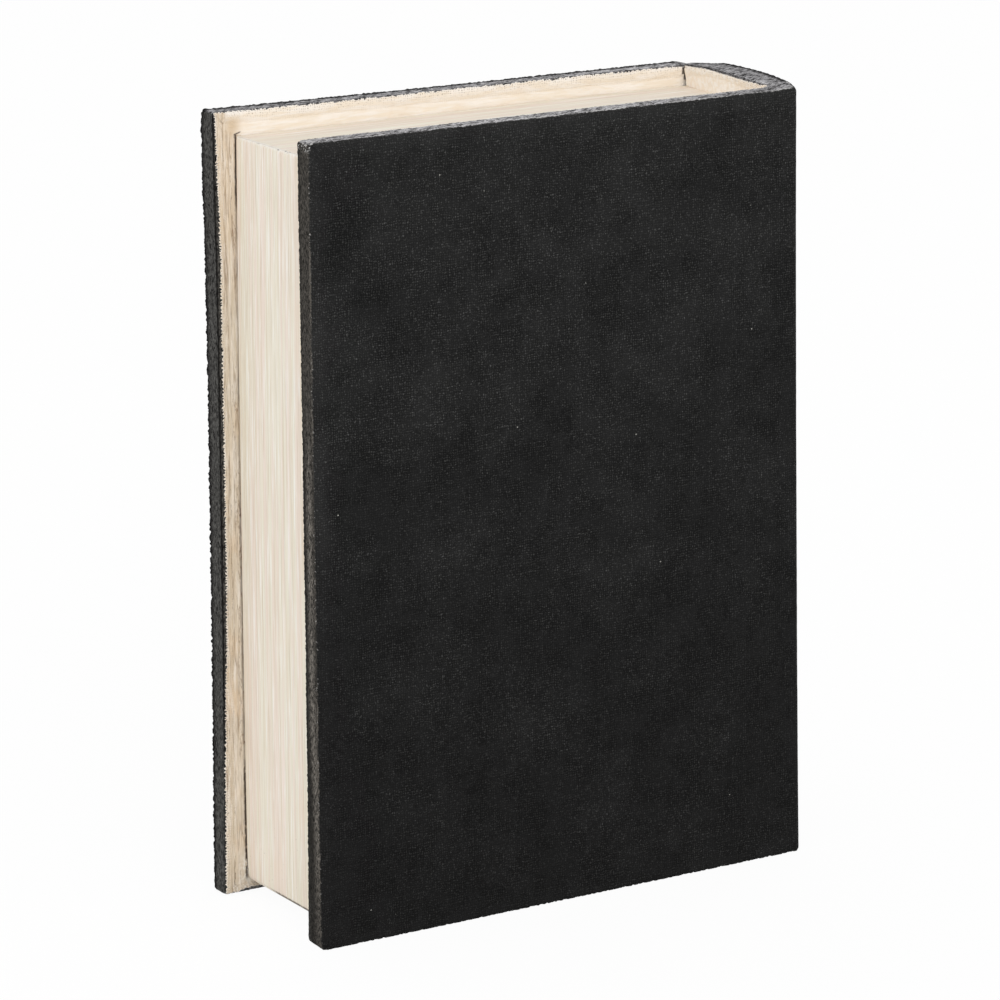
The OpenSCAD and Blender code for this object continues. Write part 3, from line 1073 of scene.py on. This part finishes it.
def handCase(points):
    # Hand work: the case is a little wider at the tail, at the spine as at the fore-edge, and flatter
    # at the head of the spine, which stands a little higher than the boards. The folded corner at the
    # tail of the fore-edge is thicker. The arris at the tail is squarer than the others: its circle is
    # drawn part of the way to a square
    points = flareSpine(points)
    x, y, z = points.T
    low = 1 - z / bookHeight
    swell = caseShape["cornerSwell"] * np.exp(-z / caseShape["swellHeight"])
    swell = swell * smoothStep(-x, *caseShape["swellSide"]) * smoothStep(y, *caseShape["swellFace"])
    arris = caseShape["arris"]
    outY, outZ = (cadLow.y + arris - y) / arris, (arris - z) / arris
    square = 1 / np.maximum(np.maximum(outY, outZ), 0.1)
    grow = np.where((outY > 0) & (outZ > 0), caseShape["square"] * (np.minimum(square, 1.42) - 1), 0)
    y, z = y - outY * arris * grow, z - outZ * arris * grow
    lean = caseShape["lean"] + caseShape["tailLean"] * np.clip(low, 0, 1) ** 1.8
    toFore = 1 - smoothStep(x, cadLow.x, cadLow.x + wrap["spread"])
    toHead = smoothStep(z, bookHeight - wrap["spread"], bookHeight)
    along = (cadHigh.x - x) / (cadHigh.x - cadLow.x)
    rise = caseShape["headRise"] * along + caseShape["endRise"] * (1 - along)
    onSpine = smoothStep(x, *caseShape["riseSide"]) * smoothStep(y, *caseShape["riseNear"])
    onSpine = onSpine * (1 - 1.1 * smoothStep(y, *caseShape["riseFar"]))
    rise = rise + (caseShape["spineRise"] - caseShape["endRise"]) * onSpine
    foot = caseShape["footSwell"] * np.clip(low, 0, 1) ** 3 * (1 - smoothStep(y, *caseShape["footFace"]))
    return skewSpine(np.column_stack([x - lean * toFore, y + swell - foot, z + rise * toHead]))


def flareSpine(points):
    # Hand work: the spine's near side stands out towards the tail, by a power of the distance from the
    # head, and is flatter at the head
    x, y, z = points.T
    low = np.clip(1 - z / bookHeight, 0, 1)
    flare = caseShape["flare"] * low ** 1.4 - caseShape["headFlat"] * (1 - low)
    share = smoothStep(x, *caseShape["flareSide"]) * (1 - smoothStep(y, *caseShape["flareFace"]))
    return np.column_stack([x + flare * share, y, z])


def skewSpine(points):
    # Hand work: the inner face of the spine stands askew in plan, further out towards the lid
    x, y, z = points.T
    skew = caseShape["skew"] * np.clip((y - baseHigh.y) / (mouldHigh.y - baseHigh.y), 0, 1.02)
    inside = smoothStep(x, *caseShape["skewStart"]) * (1 - smoothStep(x, *caseShape["skewEnd"]))
    return np.column_stack([x + skew * inside, y, z])


def roughen(piece, points, threads, quiet):
    # Slow waves over the whole piece, and lumps of thread that are strong along the folded edges. The
    # lumps are noise over the cloth, short along the edge and drawn out across it, as threads are.
    # Both die out at the hinge, where the lid turns close to the spine
    spots = np.column_stack([threads, np.zeros(len(threads))])
    x, y = points[:, 0], points[:, 1]
    calm = 1 - smoothStep(x, *wrap["calmSide"]) * smoothStep(y, *wrap["calmFace"])
    waves = latticeNoise(points, wrap["waveSize"], 5) * wrap["waves"] * calm
    coarse = latticeNoise(spots, wrap["lumpSize"], 11)
    fine = latticeNoise(spots, wrap["lumpSize"] * 0.55, 12)
    pushAlongNormals(piece, 0.5 * waves + 0.75 * (coarse + fine) * wrap["lumps"] * quiet * calm)


def edgeStrength(marks):
    # Full round the outer arris, less towards the inner one, and weak on the open face
    fold, turned = marks["fold"], marks["turned"]
    rise = smoothStep(fold, -1.2, -0.1) * (1 - 0.3 * marks["ends"])
    fall = (1 - 0.65 * smoothStep(fold, 1.5, 4.0)) * (1 - 0.8 * smoothStep(turned, 0.0, 0.8))
    return 0.1 + 0.9 * rise * fall


clothMaterial = canvasPaint()


def makeCaseCanvas():
    # The cloth over the base board and the spine
    cut = {
        "plan": casePlan,
        "turnIn": caseTurnIn,
        "hand": handCase,
        "shape": caseShape,
        "length": float(caseRun[-1]),
        "depth": baseHigh.y - baseLow.y,
        "closed": False,
    }
    piece = canvasPiece("case_canvas", cut)
    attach(piece, "box")
    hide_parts("base_cloth", "spine_cloth")
    return piece


lidShape = {
    "turnIn": 5.4 * mm,
    "tailTurnIn": 3.8 * mm,
    "endTurnIn": 0.95 * mm,
    "lean": 0.12 * mm,
    "tailLean": 1.85 * mm,
    "headLean": 0.3 * mm,
    "headRise": 0.55 * mm,
    "cornerRise": 0.5 * mm,
    "headDrop": 0.35 * mm,
    "arris": 0.9 * mm,
    "corners": (1.8 * mm, 1.0 * mm),
    "tailLift": 0.5 * mm,
    "turnInEnd": (184.6 * mm, 185.8 * mm),
    "headSpan": (222 * mm, 244 * mm),
    "cornerReach": 30 * mm,
    "liftHeight": 8 * mm,
}


def lidPlan(s):
    # A straight section: the outer face of the lid, and its inner face with the turned-in cloth
    x = cadLow.x + s
    outer = np.column_stack([x, np.full(len(x), lidHigh.y)])
    inside = np.column_stack([x, np.full(len(x), lidLow.y)])
    return outer, inside


def lidTurnIn(s, z):
    # The turned-in cloth stops before the spine
    stop = smoothStep(s, *lidShape["turnInEnd"])
    wide, atTail, end = lidShape["turnIn"], lidShape["tailTurnIn"], lidShape["endTurnIn"]
    tail, head = atTail * (1 - stop) + end * stop, wide * (1 - stop) + end * stop
    return {"fore": wide, "tail": tail, "head": head, "back": end}


def handLid(points):
    # Hand work: the lid's cloth stands out further at the tail of the fore-edge, and the head edge
    # falls a little towards the hinge
    x, y, z = points.T
    toFore = 1 - smoothStep(x, cadLow.x, cadLow.x + wrap["spread"])
    toHead = smoothStep(z, bookHeight - wrap["spread"], bookHeight)
    along = (lidHigh.x - x) / (lidHigh.x - lidLow.x)
    lean = lidShape["lean"] + lidShape["tailLean"] * np.clip(1 - z / bookHeight, 0, 1) ** 2.4
    lean = lean + lidShape["headLean"] * smoothStep(z, *lidShape["headSpan"])
    rise = lidShape["headRise"] * along - lidShape["headDrop"] * (1 - along)
    rise = rise + lidShape["cornerRise"] * np.exp(-(x - cadLow.x) / lidShape["cornerReach"])
    inward = 1 - smoothStep(y, lidLow.y + 0.2 * mm, lidLow.y + 4 * mm)
    lift = lidShape["tailLift"] * inward * np.exp(-np.maximum(z, 0) / lidShape["liftHeight"])
    return np.column_stack([x - lean * toFore, y, z + rise * toHead + lift])


def makeLidCanvas():
    # The cloth over the lid's board, turned in on all four sides
    cut = {
        "plan": lidPlan,
        "turnIn": lidTurnIn,
        "hand": handLid,
        "shape": lidShape,
        "length": lidHigh.x - lidLow.x,
        "depth": lidHigh.y - lidLow.y,
        "closed": True,
    }
    piece = canvasPiece("lid_canvas", cut)
    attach(piece, "lid")
    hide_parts("lid_cloth")
    return piece


hingeShape = {
    "thick": 0.42 * mm,
    "lidReach": 2.2 * mm,
    "spineReach": 2.4 * mm,
    "sink": 0.25 * mm,
    "bend": 0.5 * mm,
    "endGap": 0.6 * mm,
    "overSpine": 0.1 * mm,
    "lastAngle": -75,
}


def makeHingeCanvas():
    # A flat tube along the joint: its middle line runs down the end of the lid, turns, and runs in
    # over the nose of the spine, and its section is that line given a thickness
    axisX, axisY = hingeHigh.x, (hingeLow.y + hingeHigh.y) / 2
    sink, bend, half = hingeShape["sink"], hingeShape["bend"], hingeShape["thick"] / 2
    turnAt = np.array([axisX - sink - bend, axisY + 0.1 * mm])
    t = np.radians(np.linspace(0, hingeShape["lastAngle"], 8))
    turn = turnAt + bend * np.column_stack([np.cos(t), np.sin(t)])
    lidY = np.linspace(axisY + hingeShape["lidReach"], axisY + 0.3 * mm, 4)
    spineX = np.linspace(axisX - 1.1 * mm, axisX - hingeShape["spineReach"], 4)
    onLid = np.column_stack([np.full(4, axisX - sink), lidY])
    onSpine = np.column_stack([spineX, np.full(4, hingeLow.y - hingeShape["overSpine"])])
    line = np.concatenate([onLid, turn, onSpine])
    along = np.gradient(line, axis=0)
    along /= np.linalg.norm(along, axis=1)[:, None]
    side = np.column_stack([-along[:, 1], along[:, 0]])
    loop = np.concatenate([line + side * half, (line - side * half)[::-1]])
    zLine = np.linspace(hingeShape["endGap"], bookHeight - hingeShape["endGap"], 240)
    points = np.column_stack([np.tile(loop, (len(zLine), 1)), np.repeat(zLine, len(loop))])
    table = np.arange(len(points)).reshape(len(zLine), len(loop))
    quads = gridFaces(table, True)
    run = np.linspace(0, 8 * mm, len(loop))
    flat = np.column_stack([np.tile(run, len(zLine)), np.repeat(zLine, len(loop))])
    caps = [table[0][::-1], table[-1]]
    plain = np.zeros(len(points))
    marks = {"fold": plain - 5, "turned": plain - 5, "ends": plain}
    piece = makePiece("hinge_canvas", points, quads, caps, flat, marks)
    recalculate(piece)
    piece.data.materials.append(clothMaterial)
    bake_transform(piece)
    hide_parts("hinge_cloth")
    return piece


def recalculate(piece):
    # Faces of a closed mesh turned outwards
    work = bmesh.new()
    work.from_mesh(piece.data)
    bmesh.ops.recalc_face_normals(work, faces=work.faces)
    work.to_mesh(piece.data)
    work.free()


makeCaseCanvas()
makeLidCanvas()
makeHingeCanvas()
print("canvas pieces made")


# Page block: four painted walls with uneven page edges, mitred at the fore-edge

blockLow = np.array([foreLow.x, foreLow.y, foreLow.z])
blockHigh = np.array([mouldLow.x + caseShape["skew"] + 0.3 * mm, foreHigh.y, foreHigh.z])


def pageGrooves(across, along, seed, strength):
    # Depth of the page lines: each line is a narrow bell across the pages that strays a little along
    # them. A strong line comes about every three millimetres, with finer ones between
    rng = np.random.default_rng(seed)
    span = blockHigh[1] - blockLow[1]
    strong = np.arange(block["strongPitch"], span, block["strongPitch"])
    strong = strong + rng.uniform(-1, 1, len(strong)) * block["pitchStray"]
    fine = rng.uniform(0, span, block["fineCount"])
    centres = np.concatenate([strong, fine])
    depths = np.concatenate([
        block["strongDepth"] * rng.uniform(0.5, 1.0, len(strong)),
        block["fineDepth"] * rng.uniform(0.4, 1.0, len(fine)),
    ])
    widths = rng.uniform(*block["lineWidth"], len(centres))
    total = np.zeros(np.broadcast(across, along).shape)
    swellRun, swellPhase = block["swellRun"]
    for centre, depth, width in zip(centres, depths, widths):
        stray = sum(size * np.sin(along / run + centre / phase) for size, run, phase in block["strays"])
        swell = 0.75 + 0.25 * np.sin(along / swellRun + centre / swellPhase)
        total += depth * swell * np.exp(-(((across - centre - stray) / width) ** 2))
    return total * strength


def roundedBlock(points):
    # Points outside the rounded outline of the block are drawn onto it; the rim's corner at the tail
    # of the fore-edge is rounder than the other edges
    nearTail = 1 - smoothStep(points[:, 2], blockLow[2], blockLow[2] + block["tailReach"])
    nearFore = 1 - smoothStep(points[:, 0], blockLow[0], blockLow[0] + block["foreReach"])
    r = block["round"] + (block["tailRound"] - block["round"]) * nearTail * nearFore
    r = r[:, None] * np.ones(3)
    low, high = blockLow.copy(), blockHigh.copy()
    low[1], high[0] = -1.0, 1.0
    middle = np.clip(points, low + r, high - r)
    away = points - middle
    size = np.linalg.norm(away, axis=1)[:, None]
    return middle + away * np.minimum(1, r[:, :1] / np.maximum(size, 1e-9))


def handBlock(points):
    # Hand work: the fore-edge of the block stands out further towards the tail, by 1 - (z/h)^2
    x, y, z = points.T
    lean = block["lean"] + block["tailLean"] * (1 - (z / bookHeight) ** 2)
    toFore = 1 - smoothStep(x, blockLow[0], blockLow[0] + block["leanReach"])
    return np.column_stack([x - lean * toFore, y, z])


def wallPiece(name, node, start, run, inward, mitres, seed, strength, material):
    # The section of a wall is a closed loop over (height above the base board, depth from the outer
    # face). It is carried along the wall, in steps that are shorter towards the ends by a share of a
    # cosine, and a mitre makes each end's place depend on the depth
    height = blockHigh[1] - blockLow[1]
    across = np.linspace(0, height, int(height / block["lineStep"]))
    rim = np.array(block["rim"]) * mm
    down = np.linspace(height, 0, 12)[1:]
    floorLine = np.array(block["floor"]) * mm
    up = np.concatenate([across, np.full(len(rim), height), down, np.zeros(len(floorLine))])
    deep = np.concatenate([np.zeros(len(across)), rim, np.full(len(down), block["thick"]), floorLine])
    onFace = np.arange(len(up)) < len(across)
    length = np.linalg.norm(run)
    t = np.linspace(0, 1, int(length / block["runStep"]))
    ease = 0.5 - 0.5 * np.cos(math.pi * t)
    t = (1 - block["endShare"]) * t + block["endShare"] * ease
    begin = deep * mitres[0] + block["crack"]
    end = length - deep * mitres[1] - block["crack"]
    along = begin[None, :] + t[:, None] * (end - begin)[None, :]
    cuts = pageGrooves(up[None, :], along, seed, strength) * onFace[None, :]
    depth = deep[None, :] + cuts
    direction = np.array(run) / length
    points = np.array(start) + along[..., None] * direction + depth[..., None] * np.array(inward)
    points = points + up[None, :, None] * np.array([0, 1.0, 0])
    shape = points.shape[:2]
    points = handBlock(roundedBlock(points.reshape(-1, 3)))
    table = np.arange(len(points)).reshape(shape)
    ends = [table[0][::-1], table[-1]]
    marks = {"pageDepth": (cuts / block["strongDepth"]).ravel()}
    piece = makePiece(name, points, gridFaces(table, True), ends, None, marks)
    recalculate(piece)
    piece.data.materials.append(material)
    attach(piece, "box")
    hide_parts(node)
    return piece


def cutPocket(wall, magnet):
    # A round pocket for a magnet: the wall less an upright cylinder a little wider than the magnet
    low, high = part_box(magnet)
    count, radius = 48, (high.x - low.x) / 2 + 0.1 * mm
    turns = np.linspace(0, 2 * math.pi, count, endpoint=False)
    x = np.cos(turns) * radius + (low.x + high.x) / 2
    z = np.sin(turns) * radius + (low.z + high.z) / 2
    rings = [np.column_stack([x, np.full(count, y), z]) for y in (low.y, high.y + 2 * mm)]
    table = np.arange(2 * count).reshape(2, count)
    ends = [table[0][::-1], table[1]]
    cutter = makePiece("pocketCutter", np.concatenate(rings), gridFaces(table, True), ends, smooth=False)
    recalculate(cutter)
    cut = wall.modifiers.new("pocket", "BOOLEAN")
    cut.operation, cut.object, cut.solver = "DIFFERENCE", cutter, "EXACT"
    depsgraph = bpy.context.evaluated_depsgraph_get()
    hollowed = bpy.data.meshes.new_from_object(wall.evaluated_get(depsgraph))
    wall.modifiers.clear()
    wall.data = hollowed
    hollowed.set_sharp_from_angle(angle=math.radians(50))
    bpy.data.objects.remove(cutter)
    print("pocket cut, points", len(hollowed.vertices))


foreMaterial = pagePaint("pageEdgesUpright", "z", 0.0)
endMaterial = pagePaint("pageEdgesAcross", "x", 0.4)
span = blockHigh - blockLow
headCorner = (blockLow[0], blockLow[1], blockHigh[2])
upright, across = (0, 0, span[2]), (span[0], 0, 0)
foreMade = ("page_wall_fore_edge", "fore_edge_wall", blockLow, upright, (1, 0, 0), (1, 1), 3, 1.0)
headMade = ("page_wall_head", "head_wall", headCorner, across, (0, 0, -1), (1, 0), 4, 0.8)
tailMade = ("page_wall_tail", "tail_wall", blockLow, across, (0, 0, 1), (1, 0), 5, 0.9)
foreWall = wallPiece(*foreMade, foreMaterial)
for made in (headMade, tailMade):
    wallPiece(*made, endMaterial)
cutPocket(foreWall, "rim_magnet")
print("page block made")


# Painted wood of the spine, askew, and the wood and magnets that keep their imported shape

paint = boardPaint("creamBrushedPaint")
nickel = nickelPlate()


def skewedWood(name, node):
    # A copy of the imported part, merged where its loose triangles meet, with every corner moved by the
    # spine's flare and skew. The copied normals are dropped, because they belong to the unmoved part
    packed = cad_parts[node]
    mesh = bpy.data.meshes.new(name)
    work = bmesh.new()
    work.from_mesh(packed.data)
    work.transform(packed.matrix_world)
    bmesh.ops.remove_doubles(work, verts=work.verts, dist=0.001 * mm)
    work.to_mesh(mesh)
    work.free()
    if mesh.has_custom_normals:
        mesh.attributes.remove(mesh.attributes["custom_normal"])
    points = np.zeros(len(mesh.vertices) * 3, np.float32)
    mesh.vertices.foreach_get("co", points)
    moved = skewSpine(flareSpine(points.reshape(-1, 3).astype(float)))
    mesh.vertices.foreach_set("co", moved.astype(np.float32).ravel())
    mesh.update()
    mesh.materials.clear()
    mesh.materials.append(paint)
    piece = bpy.data.objects.new(name, mesh)
    bpy.context.scene.collection.objects.link(piece)
    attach(piece, "box")
    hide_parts(node)


skewedWood("base_wood", "base_board")
skewedWood("spine_wood", "spine_moulding")
skewedWood("spine_lining", "spine_wall")
for node, material in {"lid_board": paint, "rim_magnet": nickel, "lid_magnet": nickel}.items():
    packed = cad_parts[node]
    packed.data.materials.clear()
    packed.data.materials.append(material)
print("wood and magnets painted")


# Floor, light and world; a lamp is given as place, size and power

studio = {
    "floor": tone(250, 250, 250),
    "floorHalf": 14.0,
    "floorLift": 0.95,
    "world": 0.8,
    "aim": (0, 0, 0.12),
    "lamps": {
        "keyLamp": ((-0.6, -2.3, 1.6), (1.6, 1.6), 18.0),
        "fillLamp": ((-2.4, -0.5, 1.2), (1.4, 1.4), 5.0),
    },
}


def makeStage():
    # A wide floor; to the camera and in reflections most of it is plain white, and the rest of its
    # shade keeps the object's shadow
    mesh = bpy.data.meshes.new("studioFloor")
    half = studio["floorHalf"]
    corners = [(-half, -half, 0), (half, -half, 0), (half, half, 0), (-half, half, 0)]
    mesh.from_pydata(corners, [], [(0, 1, 2, 3)])
    floor = bpy.data.objects.new("studioFloor", mesh)
    bpy.context.scene.collection.objects.link(floor)
    material = finishMaterial(newMaterial("studioFloorPaint")[0], studio["floor"], 0.9, 0.0)
    tree = material.node_tree
    shader = tree.nodes["Principled BSDF"]
    white = addNode("Emission", {"Color": (1, 1, 1, 1), "Strength": 1.0}, tree).outputs[0]
    share = product(seenDirectly(tree), studio["floorLift"])
    mixed = addNode("MixShader", {0: share, 1: shader.outputs[0], 2: white}).outputs[0]
    tree.links.new(mixed, tree.nodes["Material Output"].inputs["Surface"])
    mesh.materials.append(material)


def seenDirectly(tree):
    # 1 for rays from the camera, off metal or through glass
    path = addNode("LightPath", {}, tree)
    kinds = ("Is Camera Ray", "Is Glossy Ray", "Is Transmission Ray")
    return highest(*(path.outputs[kind] for kind in kinds))


def makeLamp(name, place, size, power):
    # A soft rectangular lamp that looks at the middle of the book
    data = bpy.data.lights.new(name, "AREA")
    data.shape, data.size, data.size_y = "RECTANGLE", size[0], size[1]
    data.energy = power
    lamp = bpy.data.objects.new(name, data)
    aim = Vector(studio["aim"]) - Vector(place)
    lamp.rotation_mode = "QUATERNION"
    lamp.rotation_quaternion = aim.to_track_quat("-Z", "Y")
    lamp.location = place
    bpy.context.scene.collection.objects.link(lamp)


def makeWorld():
    # The camera, glossy and transmission rays see plain white; other rays get the plain soft level
    world = bpy.data.worlds.new("studioWorld")
    bpy.context.scene.world = world
    world.use_nodes = True
    tree = world.node_tree
    shader = tree.nodes["Background"]
    strength = scaled(seenDirectly(tree), 1.0 - studio["world"], studio["world"])
    tree.links.new(strength, shader.inputs["Strength"])
    shader.inputs["Color"].default_value = (1, 1, 1, 1)


makeStage()
for name, (place, size, power) in studio["lamps"].items():
    makeLamp(name, place, size, power)
makeWorld()
bpy.context.scene.view_settings.view_transform = "Standard"
print("studio made")
